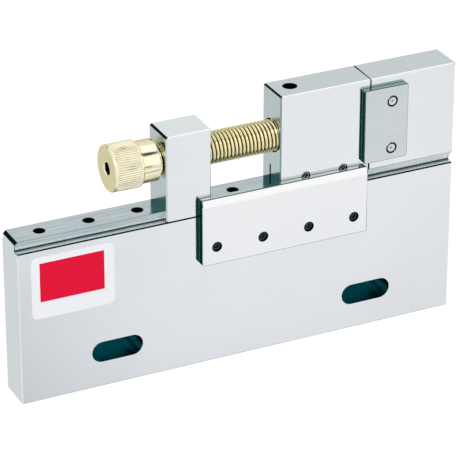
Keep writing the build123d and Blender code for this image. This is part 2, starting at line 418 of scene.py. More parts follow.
class Steel(Enum):
    """The ways that the vise's steel faces are finished. The dark teal ones for recesses, rims,
    chamfers and edges are painted shade and painted dark reflection.
    """

    LAPPED = SteelFinish(
        "steel_lapped", light=(0.83, 0.85, 0.865), dark=(0.78, 0.80, 0.815),
        rough=(0.10, 0.14), grain=Grain.UPRIGHT, contrast=0.5, relief=0.03,
    )
    BRIGHT = SteelFinish(
        "steel_bright", light=(0.87, 0.88, 0.89), dark=(0.82, 0.835, 0.845),
        rough=(0.09, 0.13), grain=Grain.LENGTHWISE, contrast=0.5, relief=0.03,
    )
    SATIN = SteelFinish(
        "steel_satin", light=(0.70, 0.745, 0.75), dark=(0.63, 0.675, 0.68),
        rough=(0.16, 0.22), grain=Grain.LONG_LENGTHWISE, contrast=0.8, relief=0.05,
    )
    PALE = SteelFinish(
        "steel_pale", light=(0.90, 0.915, 0.91), dark=(0.85, 0.865, 0.86),
        rough=(0.20, 0.26), grain=Grain.CROSSWISE, contrast=0.6, relief=0.04,
    )
    GROUND = SteelFinish(
        "steel_ground", light=(0.70, 0.76, 0.77), dark=(0.42, 0.48, 0.50),
        rough=(0.12, 0.18), grain=Grain.WHEEL, contrast=1.4, relief=0.12,
    )
    SHOULDER = SteelFinish(
        "steel_shoulder", light=(0.74, 0.81, 0.82), dark=(0.55, 0.61, 0.63),
        rough=(0.20, 0.28), grain=Grain.WHEEL, contrast=1.2, relief=0.2,
    )
    HONED = SteelFinish(
        "steel_honed", light=(0.95, 0.975, 0.975), dark=(0.90, 0.925, 0.925),
        rough=(0.50, 0.60), grain=Grain.LENGTHWISE, contrast=0.6, relief=0.04,
    )
    # SIDE has its own upright grain; its colour, darker than the lapped fronts, is painted shade on
    # the end faces.
    SIDE = SteelFinish(
        "steel_side", light=(0.64, 0.695, 0.70), dark=(0.56, 0.61, 0.615),
        rough=(0.15, 0.20), grain=Grain.LONG_UPRIGHT, contrast=0.8, relief=0.05,
    )
    END = SteelFinish(
        "steel_end", light=(0.86, 0.88, 0.89), dark=(0.80, 0.82, 0.83),
        rough=(0.24, 0.32), grain=Grain.CROSSWISE, contrast=0.6, relief=0.05,
    )
    # RIM's dark teal is painted shade and painted dark reflection on plate rims and chamfered corners.
    RIM = SteelFinish(
        "steel_rim", light=(0.30, 0.41, 0.41), dark=(0.18, 0.28, 0.28),
        rough=(0.14, 0.20), grain=Grain.LONG_LENGTHWISE, contrast=1.0, relief=0.1,
    )
    # SHADED's near-black teal, with its teal glance, is painted shade and painted dark reflection on
    # plate ends and on chamfers facing left or front.
    SHADED = SteelFinish(
        "steel_shaded", light=(0.016, 0.065, 0.057), dark=(0.008, 0.042, 0.037),
        rough=(0.20, 0.30), grain=Grain.LONG_UPRIGHT, contrast=1.0, relief=0.1,
        glance=(0.1, 0.45, 0.42),
    )
    # EDGE goes on every broken edge: a painted dark line of shade and dark reflection, with a dark
    # glance.
    EDGE = SteelFinish(
        "steel_edge", light=(0.14, 0.18, 0.18), dark=(0.09, 0.12, 0.12),
        rough=(0.30, 0.40), grain=Grain.FINE, contrast=1.0, relief=0.1,
        glance=(0.25, 0.35, 0.35),
    )
    # This near-black teal, with its teal glance, is painted shade in slots, holes, grooves and inner
    # walls; only its grain and roughness are a bored finish.
    RECESS_SHADE = SteelFinish(
        "steel_recess_shade", light=(0.008, 0.085, 0.100), dark=(0.002, 0.036, 0.044),
        rough=(0.26, 0.36), grain=Grain.FINER, contrast=1.2, relief=0.2,
        glance=(0.0, 0.5, 0.55),
    )


@dataclass(frozen=True)
class BrassFinish(Finish):
    """Turned and polished brass. Painted shade deepens from the crest's radius to the root's, in mm.
    """

    name: str
    centre: Triple
    root: float = 0.0
    crest: float = 0.1
    bright: Colour = (0.97, 0.92, 0.73)
    tarnished: Colour = (0.93, 0.87, 0.61)
    root_shade: Colour = (0.12, 0.065, 0.015)
    glance: Colour = (0.80, 0.62, 0.25)
    rough: Span = (0.06, 0.13)
    relief: float = 0.08

    def paint(self, board: Board) -> Coat:
        """Lets turning rings, a soft tarnish and painted shade in the roots vary the surface.

        Args:
            board: the material's board.

        Returns:
            The colour, the wear and the lines' height.
        """
        radii = {"Root": self.root * MM, "Crest": self.crest * MM}
        given = RingLines.place(board, Centre=self.centre, **radii)
        tone = board.blend(given["Tarnish"], self.bright, self.tarnished)
        # Painted shade in the roots of the knurl and the thread.
        if self.root:
            tone = board.blend(given["RootShade"], tone, self.root_shade)
        return tone, given["Rings"], given["Rings"]


@dataclass(frozen=True)
class DarkFinish(Finish):
    """Black oxide on screw steel, worn a little lighter in patches. The same black is painted shade in
    sockets and grooves.
    """

    name: str
    base: Colour
    worn: Colour
    rough: Span

    def paint(self, board: Board) -> Coat:
        """Lets a fine mottling vary colour and roughness."""
        lines = GrindLines.place(board, Stretch=Grain.FINE.value)["Lines"]
        return board.blend(lines, self.base, self.worn), lines, lines


@dataclass(frozen=True)
class PrintFinish(Finish):
    """Smooth label film or the ink on it."""

    name: str
    base: Colour
    faded: Colour
    rough: Span
    gloss: float = 0.3
    metal: float = 0.0
    contrast: float = 0.4

    def paint(self, board: Board) -> Coat:
        """Lets a slow mottling vary the colour, and faint lines the roughness."""
        given = GrindLines.place(board, Stretch=Grain.EVEN.value, Contrast=self.contrast)
        return board.blend(given["Haze"], self.base, self.faded), given["Lines"], given["Lines"]


BLACK_OXIDE_AND_SHADE = DarkFinish(
    "screw_black", base=(0.020, 0.032, 0.034), worn=(0.05, 0.075, 0.08), rough=(0.22, 0.36)
)
LABEL_FILM = PrintFinish(
    "label_film", base=(0.92, 0.92, 0.94), faded=(0.89, 0.89, 0.91), rough=(0.32, 0.42)
)
LABEL_RED = PrintFinish(
    "label_red", base=(0.82, 0.004, 0.042), faded=(0.78, 0.004, 0.038), rough=(0.42, 0.52), gloss=0.1
)


@dataclass(frozen=True)
class Spot:
    """One face of a steel piece, as seen when its finish is chosen. Lengths are in mm."""

    centre: Vector
    normal: Vector
    low: Vector
    high: Vector
    square: float = 0.9
    halfway: float = 0.5

    def faces(self, axis: int) -> bool:
        """Says whether the face looks along an axis, either way."""
        return abs(self.normal[axis]) > self.square

    def tilts(self, axis: int) -> bool:
        """Says whether the face looks at least half along an axis, either way."""
        return abs(self.normal[axis]) > self.halfway

    def leans(self, *directions: Vector) -> bool:
        """Says whether the face looks at least half towards each direction."""
        return all(self.normal.dot(direction) > self.halfway for direction in directions)

    def inside(self, axis: int, margin: float) -> bool:
        """Says whether the face lies more than a margin inside both ends of the piece."""
        return self.low[axis] + margin < self.centre[axis] < self.high[axis] - margin


@dataclass(frozen=True)
class SharpEdge:
    """One sharp edge of a steel piece, as seen when its width is chosen. Lengths are in mm."""

    middle: Vector
    upright: bool
    finishes: tuple[Steel, ...]
    low: Vector
    high: Vector
    reach: float = 0.15

    def lies_at(self, axis: int, level: float) -> bool:
        """Says whether the edge lies at a level of an axis."""
        return abs(self.middle[axis] - level) < self.reach


@dataclass
class SteelPiece:
    """A steel piece of the frame, which gets broken edges and a finish for each face.

    The shares say how much of the usual edge is broken. Lengths are in mm, angles in degrees.
    """

    node: str
    edge: float = 0.3
    corner_share: float = 1.7
    bored_share: float = 0.0
    edge_angle: float = 50.0
    crisp_angle: float = 15.0
    flat_angle: float = 0.6
    joined: float = 0.002
    decimals: int = 3
    upright: float = 0.9
    face_weight: int = 100

    def finish_of(self, spot: Spot) -> Steel:
        """Chooses the finish of a face; each kind of piece has its own way."""
        raise NotImplementedError

    def edge_share(self, edge: SharpEdge) -> float:
        """Says how much of the usual width is broken off a sharp edge.

        Args:
            edge: the edge.

        Returns:
            The share, 0 for an edge that stays sharp.
        """
        if Steel.RECESS_SHADE in edge.finishes:
            return self.bored_share
        at_corner = edge.lies_at(X, edge.high.x) and edge.lies_at(Y, edge.low.y)
        return self.corner_share if edge.upright and at_corner else 1.0

    def dress(self, frame: dict) -> None:
        """Gives each face its finish and breaks the sharp edges.

        Args:
            frame: the loaded frame.
        """
        piece = frame["nodes"][self.node]
        low, high = (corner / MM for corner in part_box(self.node))
        mesh = piece.data
        mesh.materials.clear()
        used: list[Steel] = []
        for face in mesh.polygons:
            steel = self.finish_of(Spot(face.center / MM, face.normal, low, high))
            if steel not in used:
                used.append(steel)
                mesh.materials.append(steel.value.material())
            face.material_index = used.index(steel)
            face.use_smooth = True
        self.weigh_edges(mesh, used, (low, high))
        # The last material, for the broken edges, is a painted dark line of shade and dark reflection.
        mesh.materials.append(Steel.EDGE.value.material())
        self.break_edges(piece)
        LOG.info("%s: %s", self.node, ", ".join(steel.value.name for steel in used))

    def weigh_edges(self, mesh: bpy.types.Mesh, used: Sequence[Steel], box: Sequence[Vector]) -> None:
        """Marks how wide each sharp edge is broken.

        Args:
            mesh: the piece's mesh, in which every face has its own corners.
            used: its finishes, in the order of its materials.
            box: the piece's lowest and highest corner, in mm.
        """
        corners = [
            tuple(round(value / MM, self.decimals) for value in vertex.co)
            for vertex in mesh.vertices
        ]
        sides: dict[frozenset, list] = {}
        for face in mesh.polygons:
            for first, second in face.edge_keys:
                place = frozenset((corners[first], corners[second]))
                sides.setdefault(place, []).append(face)
        share = mesh.attributes.new("bevel_weight_edge", "FLOAT", "EDGE")
        limit = math.cos(math.radians(self.edge_angle))
        for edge in mesh.edges:
            first, second = (corners[index] for index in edge.vertices)
            faces = sides.get(frozenset((first, second)), [])
            if len(faces) == 2 and faces[0].normal.dot(faces[1].normal) < limit:
                run = Vector(second) - Vector(first)
                finishes = tuple(used[face.material_index] for face in faces)
                upright = abs(run.z) > self.upright * run.length
                middle = (Vector(first) + Vector(second)) / 2
                sharp = SharpEdge(middle, upright, finishes, *box)
                share.data[edge.index].value = self.edge_share(sharp)

    def break_edges(self, piece: Piece) -> None:
        """Breaks the sharp edges a little, through modifiers, and keeps the faces flat.

        Args:
            piece: the piece.
        """
        weld = piece.modifiers.new("joined_corners", "WELD")
        weld.merge_threshold = self.joined * MM
        flat = piece.modifiers.new("whole_faces", "DECIMATE")
        flat.decimate_type = "DISSOLVE"
        flat.angle_limit = math.radians(self.flat_angle)
        flat.delimit = {"MATERIAL"}
        bevel = piece.modifiers.new("broken_edges", "BEVEL")
        bevel.width = self.edge * MM
        bevel.segments = 1
        bevel.limit_method = "WEIGHT"
        # The bevel's faces take that painted dark edge material.
        bevel.material = len(piece.data.materials) - 1
        bevel.use_clamp_overlap = False
        bevel.loop_slide = False
        crisp = piece.modifiers.new("crisp_edges", "EDGE_SPLIT")
        crisp.split_angle = math.radians(self.crisp_angle)
        even = piece.modifiers.new("even_shading", "WEIGHTED_NORMAL")
        even.weight = self.face_weight


@dataclass
class Body(SteelPiece):
    """The plate with its rail and its fixed jaw, ground from one bar. Heights are from the foot."""

    node: str = "body"
    jaw_face: float = 70.0
    joint_share: float = 2.6
    rail_share: float = 0.4
    corner_share: float = 1.6
    plate_height: float = 81.2
    relief: float = 0.72
    rail_height: float = 86.1
    hole_depth: float = 9.0
    hole_reach: float = 4.0
    slot_top: float = 24.4
    slot_bottom: float = 13.2
    skin: float = 0.3
    end_margin: float = 2.0
    near: float = 0.1
    near_rail: float = 0.2

    def finish_of(self, spot: Spot) -> Steel:
        """Slots, holes and the groove under the rail get painted shade, the plate's front chamfer and
        the left top chamfers get painted shade and painted dark reflection, the rail is ground along,
        and each side has its own lines.

        Args:
            spot: the face.

        Returns:
            Its finish.
        """
        # Recess walls get painted shade; the plate's front chamfer and the left top chamfers get
        # painted shade and painted dark reflection.
        height = spot.centre.z
        between_ends = spot.inside(X, self.end_margin)
        in_slot = self.slot_bottom < height < self.slot_top
        if in_slot and between_ends and spot.inside(Y, self.skin) and not spot.faces(Y):
            return Steel.RECESS_SHADE
        if self.plate_height + self.near < height < self.plate_height + self.relief:
            return Steel.END if spot.faces(X) else Steel.RECESS_SHADE
        if spot.leans(FRONT) and spot.tilts(Z):
            return Steel.SHADED if height < self.plate_height else Steel.HONED
        if spot.leans(LEFT, UP):
            return Steel.SHADED
        hole_top = self.rail_height - self.near_rail
        in_hole = hole_top - self.hole_depth < height < hole_top
        if in_hole and between_ends and abs(spot.centre.y) < self.hole_reach:
            return Steel.RECESS_SHADE
        if spot.faces(Z) and abs(height - self.rail_height) < self.near_rail:
            return Steel.GROUND
        by_rail = self.plate_height < height < self.rail_height
        if spot.leans(FRONT) and by_rail and spot.centre.x < self.jaw_face:
            return Steel.SHOULDER
        if spot.faces(X) and not between_ends:
            return Steel.END
        if spot.faces(Z) and height > spot.high.z - self.near:
            return Steel.SATIN
        if spot.faces(Z) and abs(height - self.plate_height) < self.near:
            return Steel.HONED
        return Steel.LAPPED

    def edge_share(self, edge: SharpEdge) -> float:
        """Breaks the jaw's joint and corner wider, and the rail's edges finer.

        Args:
            edge: the edge.

        Returns:
            The share of the usual width.
        """
        if edge.lies_at(X, self.jaw_face) and edge.lies_at(Z, edge.high.z):
            return self.joint_share
        if edge.lies_at(X, self.jaw_face) and edge.lies_at(Y, edge.low.y):
            return self.corner_share
        if edge.lies_at(Z, self.plate_height + self.relief):
            return 1.0
        usual = super().edge_share(edge)
        return min(usual, self.rail_share) if edge.lies_at(Z, self.rail_height) else usual


@dataclass
class Plate(SteelPiece):
    """A flat plate or a pin with one finish on its front and back, and a darker rim whose dark teal is
    painted shade and painted dark reflection.
    """

    steel: Steel = Steel.LAPPED
    top: Steel = Steel.RIM
    corner_share: float = 1.0
    bored_share: float = 0.25
    rim_margin: float = 1.5
    near_top: float = 0.1

    def finish_of(self, spot: Spot) -> Steel:
        """The screw holes get painted shade, the ends get painted shade and painted dark reflection,
        and the top has its own finish.

        Args:
            spot: the face.

        Returns:
            Its finish.
        """
        if spot.tilts(Y):
            return self.steel
        if spot.inside(X, self.rim_margin) and spot.inside(Z, self.rim_margin):
            return Steel.RECESS_SHADE
        if spot.faces(X):
            return Steel.SHADED
        return self.top if spot.centre.z > spot.high.z - self.near_top else Steel.RIM


@dataclass
class Saddle(SteelPiece):
    """A block that rides on the rail, with holes whose walls get painted shade."""

    top: Steel = Steel.SATIN
    corner: Steel = Steel.RIM
    corner_share: float = 2.2
    end_margin: float = 0.4
    side_margin: float = 0.9
    top_margin: float = 0.5

    def finish_of(self, spot: Spot) -> Steel:
        """Inner walls get painted shade, and the top, the ends and the slopes have their own finishes.
        The ends' darker colour is painted shade, and the left chamfers and corners get painted shade
        and painted dark reflection.

        Args:
            spot: the face.

        Returns:
            Its finish.
        """
        below_top = spot.centre.z < spot.high.z - self.top_margin
        if below_top and spot.inside(X, self.end_margin) and spot.inside(Y, self.side_margin):
            return Steel.RECESS_SHADE
        if spot.faces(Z) and not below_top:
            return self.top
        if spot.leans(FRONT) and spot.tilts(Z):
            return Steel.HONED
        if spot.leans(LEFT, UP):
            return Steel.SHADED
        if spot.leans(LEFT, FRONT):
            return self.corner
        return Steel.SIDE if spot.faces(X) else Steel.LAPPED


@dataclass(frozen=True)
class Ring:
    """One closed ring of a turned form. Its radius may change with the angle."""

    distance: float
    radius: Callable[[float], float]
    dark: bool = False


def round_ring(distance: float, radius: float, dark: bool = False) -> Ring:
    """Gives a round ring of one radius; the band that follows a dark one is painted black as shade."""
    return Ring(distance, lambda angle: radius, dark)


def corner_reach(across_flats: float) -> float:
    """Gives how far a hexagon's corners stand from its middle."""
    return across_flats / 2 / math.cos(math.pi / 6)


def hexagon_ring(distance: float, across_flats: float, dark: bool = False) -> Ring:
    """Gives a hexagonal ring with a corner straight up; the band that follows a dark one is painted
    black as shade.
    """
    sixth = FULL_TURN / 6
    return Ring(distance, lambda angle: across_flats / 2 / math.cos(angle % sixth - sixth / 2), dark)


def quarter_round(distance: float, radius: float, size: float, rising: bool) -> list[Ring]:
    """Rounds a turned edge.

    Args:
        distance: where the rounding starts.
        radius: the outer radius.
        size: the rounding's radius.
        rising: True where the form grows, and False where it shrinks.

    Returns:
        Its rings, in order.
    """
    steps = 5
    rings = []
    for step in range(steps + 1):
        share = step / steps if rising else 1 - step / steps
        angle = share * math.pi / 2
        inset = size * (1 - math.sin(angle))
        run = size * (1 - math.cos(angle))
        place = distance + run if rising else distance + size - run
        rings.append(round_ring(place, radius - inset))
    return rings


@dataclass(frozen=True)
class Lathe:
    """A turning line: where it starts, which way it runs and what it calls up. Lengths are in mm."""

    start: Vector
    along: Vector
    up: Vector
    soft_angle: float = 60.0
    crisp_angle: float = 32.0

    def turn(
        self, name: str, rings: Sequence[Ring], finish: Finish, segments: int,
        crisp: bool = False, hollow: bool = False,
    ) -> Piece:
        """Joins rings into a closed skin.

        Args:
            name: the piece's name.
            rings: from one end to the other.
            finish: what the piece is made of.
            segments: how many points a ring has.
            crisp: True where even shallow edges look sharp.
            hollow: True for a sleeve, whose last ring is joined to its first.

        Returns:
            The piece.
        """
        side = self.along.cross(self.up)
        angles = [FULL_TURN * step / segments for step in range(segments)]
        outs = [self.up * math.cos(angle) + side * math.sin(angle) for angle in angles]
        points = [
            (self.start + self.along * ring.distance + out * ring.radius(angle)) * MM
            for ring in rings
            for angle, out in zip(angles, outs)
        ]
        total = len(points)
        banded = total if hollow else total - segments
        faces = bands(banded // segments, segments, total)
        if not hollow:
            faces += [tuple(reversed(range(segments))), tuple(range(banded, total))]
        piece = add_mesh(name, points, faces, finish.material())
        mesh = piece.data
        mesh.shade_smooth()
        sharp = self.crisp_angle if crisp else self.soft_angle
        mesh.set_sharp_from_angle(angle=math.radians(sharp))
        # Bands after a dark ring take the black: painted shade in sockets, undercuts and grooves.
        if any(ring.dark for ring in rings):
            mesh.materials.append(BLACK_OXIDE_AND_SHADE.material())
            for face in mesh.polygons[:banded]:
                face.material_index = int(rings[face.index // segments].dark)
        return piece


@dataclass
class LeadScrew:
    """The brass screw: a knurled knob with a hexagon socket, a collar, a thread and a journal.

    Lengths are in mm. The thread's crest and root are shares of half its pitch.
    """

    knob_length: float = 14.8
    knob_segments: int = 120
    rim: float = 1.0
    rim_flat: float = 0.3
    knob_step: float = 0.6
    knob_edge: float = 0.3
    hidden: float = 0.05
    knurl_seat: float = 0.9
    knurl_core: float = 1.0
    knurl_count: int = 60
    knurl_depth: float = 0.36
    knurl_clean: float = 0.2
    knurl_points: int = 8
    knurl_runout: float = 0.4
    knurl_shape: float = 0.7
    socket: float = 6.0
    socket_depth: float = 7.0
    socket_mouth: float = 0.5
    socket_bright: float = 0.7
    socket_point: float = 1.2
    socket_floor: float = 0.4
    face_edge: float = 0.4
    collar_radius: float = 10.5
    collar_length: float = 9.4
    collar_edge: float = 0.5
    collar_groove: float = 0.35
    thread_radius: float = 8.0
    thread_pitch: float = 2.0
    thread_depth: float = 1.15
    thread_crest: float = 0.22
    thread_root: float = 0.92
    thread_shape: float = 1.25
    thread_stations: int = 14
    thread_seat: float = 0.3
    root_shade_start: float = 0.5
    root_shade_end: float = 0.15
    shank_segments: int = 96
    undercut_radius: float = 6.2
    undercut_length: float = 1.0
    journal_radius: float = 6.0
    journal_length: float = 14.8
    journal_edge: float = 0.6
    body: str = "lead_screw"

    def dress(self) -> None:
        """Builds the knob, its knurl and the threaded shank in the screw's place."""
        low, high = (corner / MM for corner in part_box("lead_screw"))
        start = Vector((low.x, (low.y + high.y) / 2, (low.z + high.z) / 2))
        lathe = Lathe(start, -LEFT, UP)
        outer = (high.z - low.z) / 2
        centre = tuple(start * MM)
        plain = BrassFinish("brass_turned", centre)
        # The knurl's and the thread's root colours are painted shade in their grooves.
        ridged = BrassFinish(
            "brass_knurled", centre, root=outer - self.knurl_depth, crest=outer - self.knurl_clean,
            bright=(1.0, 0.95, 0.76), tarnished=(0.97, 0.90, 0.65), root_shade=(0.60, 0.48, 0.20),
        )
        root = self.thread_radius - self.thread_depth + self.root_shade_end
        cut = BrassFinish(
            "brass_threaded", centre, root=root, crest=self.thread_radius - self.root_shade_start,
            bright=(0.99, 0.90, 0.61), tarnished=(0.91, 0.80, 0.46), root_shade=(0.07, 0.04, 0.01),
            glance=(0.40, 0.30, 0.12),
        )
        knob, knurl = self.knob_rings(outer), self.knurl_rings(outer)
        shank = self.shank_rings(high.x - low.x)
        ridges = self.knurl_count * self.knurl_points
        pieces = (
            lathe.turn("screw_knob", knob, plain, self.knob_segments, crisp=True),
            lathe.turn("screw_knurl", knurl, ridged, ridges, hollow=True),
            lathe.turn("screw_thread", shank, cut, self.shank_segments),
        )
        for piece in pieces:
            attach(piece, self.body)
            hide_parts("lead_screw")
        LOG.info("lead screw: knob, collar, thread of %.1f mm pitch", self.thread_pitch)

    def knob_rings(self, outer: float) -> list[Ring]:
        """Runs from the socket's bottom over the knob's face and rims to the collar's end.

        Args:
            outer: the knob's radius.

        Returns:
            The rings.
        """
        mouth = corner_reach(self.socket) + self.socket_mouth
        end = self.knob_length
        core = outer - self.knurl_core
        groove = self.collar_radius - self.collar_groove
        collar_end = end + self.collar_length
        # The socket's deep walls and bottom are painted black as shade; the walls near its mouth stay
        # brass.
        rings = [
            round_ring(self.socket_depth + self.socket_point, self.hidden, True),
            hexagon_ring(self.socket_depth, self.socket - self.socket_floor, True),
            hexagon_ring(self.socket_depth - self.socket_floor / 4, self.socket, True),
            hexagon_ring(self.socket_mouth + self.socket_bright, self.socket),
            hexagon_ring(self.socket_mouth, self.socket),
            round_ring(0.0, mouth),
            round_ring(0.0, mouth + self.face_edge),
            round_ring(0.0, outer - self.rim - self.face_edge),
        ]
        rings += quarter_round(0.0, outer, self.rim, True)
        rings += [
            round_ring(self.rim + self.rim_flat, outer),
            round_ring(self.rim + self.rim_flat, core),
            round_ring(end - self.knob_step, core),
            round_ring(end - self.knob_step, outer - self.hidden),
            round_ring(end - self.knob_edge, outer - self.hidden),
            round_ring(end, outer - self.collar_groove),
            round_ring(end, groove),
            round_ring(end + self.collar_groove, groove),
            round_ring(end + self.knob_step, self.collar_radius),
        ]
        rounding = collar_end - self.collar_edge
        rings += quarter_round(rounding, self.collar_radius, self.collar_edge, False)
        inner = self.thread_radius - self.thread_depth - self.thread_seat
        return rings + [round_ring(collar_end, inner)]

    def knurl_rings(self, outer: float) -> list[Ring]:
        """Runs along the ridged band between the rims.

        Args:
            outer: the knob's radius.

        Returns:
            The rings.
        """
        start, end = self.rim + self.rim_flat, self.knob_length - self.knob_step
        seat = outer - self.knurl_seat
        return [
            round_ring(start - self.hidden, seat),
            self.knurl_ring(start - self.hidden, outer, 0.0),
            self.knurl_ring(start + self.knurl_runout, outer, 1.0),
            self.knurl_ring(end - self.knurl_runout, outer, 1.0),
            self.knurl_ring(end + self.hidden, outer - self.hidden, 0.0),
            round_ring(end + self.hidden, seat),
        ]

    def knurl_ring(self, distance: float, outer: float, share: float) -> Ring:
        """Gives a ring across the knurl's grooves.

        Args:
            distance: how far along the knob.
            outer: the radius of the ridges.
            share: how deep the grooves are there, from 0 to 1.

        Returns:
            The ring.
        """

        def radius(angle: float) -> float:
            """Gives the ridge's height at an angle."""
            wave = (1 + math.cos(angle * self.knurl_count)) / 2
            return outer - self.knurl_depth * share * (1 - wave**self.knurl_shape)

        return Ring(distance, radius)

    def shank_rings(self, total: float) -> list[Ring]:
        """Runs from inside the collar along the thread and the journal to the screw's end.

        Args:
            total: the screw's whole length.

        Returns:
            The rings.
        """
        collar_end = self.knob_length + self.collar_length
        start = collar_end + self.undercut_length
        end = total - self.journal_length
        step = self.thread_pitch / self.thread_stations
        stations = int((end - start) / step)
        # The undercut beside the collar is painted black as shade.
        rings = [
            round_ring(collar_end - self.collar_edge, self.undercut_radius, True),
            round_ring(start - self.hidden, self.undercut_radius),
        ]
        rings += [self.thread_ring(start + index * step) for index in range(stations + 1)]
        rings += [
            round_ring(end, self.journal_radius),
            round_ring(total - self.journal_edge, self.journal_radius),
            round_ring(total, self.journal_radius - self.journal_edge),
        ]
        return rings

    def thread_ring(self, distance: float) -> Ring:
        """Gives a ring that cuts across the right-hand thread.

        Args:
            distance: how far along the screw.

        Returns:
            The ring.
        """
        flank = self.thread_root - self.thread_crest

        def radius(angle: float) -> float:
            """Gives the thread's height at an angle."""
            phase = (distance / self.thread_pitch - angle / FULL_TURN) % 1.0
            away = abs(phase - 0.5) * 2
            fall = min(1.0, max(0.0, (away - self.thread_crest) / flank))
            return self.thread_radius - self.thread_depth * fall**self.thread_shape

        return Ring(distance, radius)


@dataclass(frozen=True)
class HeadForm:
    """What a screw's head looks like. Lengths are in mm."""

    socket: float
    socket_depth: float
    rim: float
    head_height: float
    shank_radius: float
    groove: float = 0.0
    finish: Finish = BLACK_OXIDE_AND_SHADE
    slot: str = "black_screw"


class Head(Enum):
    """The kinds of screw on the vise."""

    SUNK = HeadForm(socket=2.5, socket_depth=1.5, rim=0.35, head_height=2.2, shank_radius=1.5)
    RETAINING = HeadForm(socket=4.0, socket_depth=3.6, rim=0.5, head_height=9.0, shank_radius=1.4)
    FLUSH = HeadForm(
        socket=0.8, socket_depth=0.9, rim=0.1, head_height=1.6, shank_radius=1.7, groove=0.75,
        finish=Steel.SATIN.value, slot="pin_steel",
    )
    SETTING = HeadForm(
        socket=2.5, socket_depth=2.0, rim=0.1, head_height=11.0, shank_radius=2.2, groove=0.5,
        finish=Steel.SATIN.value, slot="pin_steel",
    )


@dataclass
class ScrewRow:
    """Screws of one kind, each in the place of its node."""

    nodes: Sequence[str]
    head: Head
    body: str
    along: Vector = -FRONT
    up: Vector = UP
    segments: int = 72
    point_share: float = 0.2
    point_radius: float = 0.02
    floor_edge: float = 0.05
    mouth_edge: float = 0.15
    groove_floor: Span = (0.35, 0.65)
    shank_length: float = 0.5
    shank_edge: float = 0.4

    def dress(self) -> None:
        """Builds every screw of the row."""
        for node in self.nodes:
            self.build(node)
        LOG.info("%s: %d screws", self.head.name.lower(), len(self.nodes))

    def build(self, node: str) -> None:
        """Builds one screw.

        Args:
            node: the node that it stands for.
        """
        low, high = (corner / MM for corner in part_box(node))
        middle, size = (low + high) / 2, high - low
        length = abs(size.dot(self.along))
        radius = abs(size.dot(self.up)) / 2
        lathe = Lathe(middle - self.along * length / 2, self.along, self.up)
        rings, finish = self.rings(radius, length), self.head.value.finish
        screw = lathe.turn(node + "_turned", rings, finish, self.segments, crisp=True)
        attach(screw, self.body)
        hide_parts(node)

    def rings(self, radius: float, length: float) -> list[Ring]:
        """Runs from the socket's bottom over the head to the shank's end.

        Args:
            radius: the head's radius.
            length: the screw's whole length.

        Returns:
            The rings.
        """
        form = self.head.value
        point = form.socket_depth + form.socket * self.point_share
        # The socket's drill point is painted black as shade.
        rings = [
            round_ring(point, self.point_radius, True),
            hexagon_ring(form.socket_depth, form.socket - 2 * self.floor_edge),
            hexagon_ring(form.socket_depth - self.floor_edge, form.socket),
            hexagon_ring(self.mouth_edge, form.socket),
            round_ring(0.0, corner_reach(form.socket) + self.mouth_edge),
        ]
        if form.groove:
            inner = radius - form.rim - form.groove
            floor = [inner + form.groove * share for share in self.groove_floor]
            # The groove round the head is painted black as shade.
            rings.append(round_ring(0.0, inner, True))
            rings += [round_ring(form.groove, reach, True) for reach in floor]
            rings.append(round_ring(0.0, inner + form.groove))
        else:
            rings += quarter_round(0.0, radius, form.rim, True)
        under = min(form.head_height, length - self.shank_length)
        shank = min(form.shank_radius, radius)
        rings += [
            round_ring(form.rim, radius),
            round_ring(under, radius),
            round_ring(under, shank),
            round_ring(length - self.shank_edge, shank),
            round_ring(length, shank - self.shank_edge),
        ]
        return rings


@dataclass
class Label:
    """The white film label with its plain red field."""

    corner: float = 3.0
    corner_steps: int = 8
    edge: float = 0.06
    margin_left: float = 4.3
    margin_right: float = 5.3
    margin_top: float = 3.2
    margin_bottom: float = 8.9
    ink: float = 0.012
    ink_corner: float = 0.12
    body: str = "base"

    def dress(self) -> None:
        """Builds the film and the ink on it."""
        low, high = (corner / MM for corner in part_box("label"))
        film = self.sheet("label_film", low, high, self.corner, LABEL_FILM)
        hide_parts("label")
        ink_low = low + Vector((self.margin_left, -self.ink, self.margin_bottom))
        ink_high = Vector((high.x - self.margin_right, low.y, high.z - self.margin_top))
        ink = self.sheet("label_field", ink_low, ink_high, self.ink_corner, LABEL_RED)
        for piece in (film, ink):
            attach(piece, self.body)
        LOG.info("label: film and red field")

    def sheet(self, name: str, low: Vector, high: Vector, corner: float, finish: Finish) -> Piece:
        """Builds a thin sheet with rounded corners.

        Args:
            name: the piece's name.
            low: its lowest corner, in mm.
            high: its highest corner, in mm.
            corner: the corners' radius, in mm.
            finish: what it is made of.

        Returns:
            The sheet.
        """
        edge = min(self.edge, (high.y - low.y) / 2)
        outline = self.outline(low, high, corner, 0.0)
        inset = self.outline(low, high, corner, edge)
        count = len(outline)
        rows = ((high.y, outline), (low.y + edge, outline), (low.y, inset))
        points = [Vector((x, y, z)) * MM for y, row in rows for x, z in row]
        total = len(points)
        faces = [tuple(range(count)), tuple(reversed(range(total - count, total)))]
        faces += [tuple(reversed(face)) for face in bands(len(rows) - 1, count, total)]
        return add_mesh(name, points, faces, finish.material())

    def outline(self, low: Vector, high: Vector, corner: float, inset: float) -> list[Span]:
        """Gives the rounded outline, round from the top right corner.

        Args:
            low: the lowest corner.
            high: the highest corner.
            corner: the corners' radius.
            inset: how far inside the outline it runs.

        Returns:
            Its points across and up.
        """
        points = []
        left, right = low.x + corner, high.x - corner
        bottom, top = low.z + corner, high.z - corner
        centres = ((right, top), (left, top), (left, bottom), (right, bottom))
        reach = corner - inset
        for quarter, (x, z) in enumerate(centres):
            for step in range(self.corner_steps + 1):
                angle = (quarter + step / self.corner_steps) * math.pi / 2
                points.append((x + reach * math.cos(angle), z + reach * math.sin(angle)))
        return points


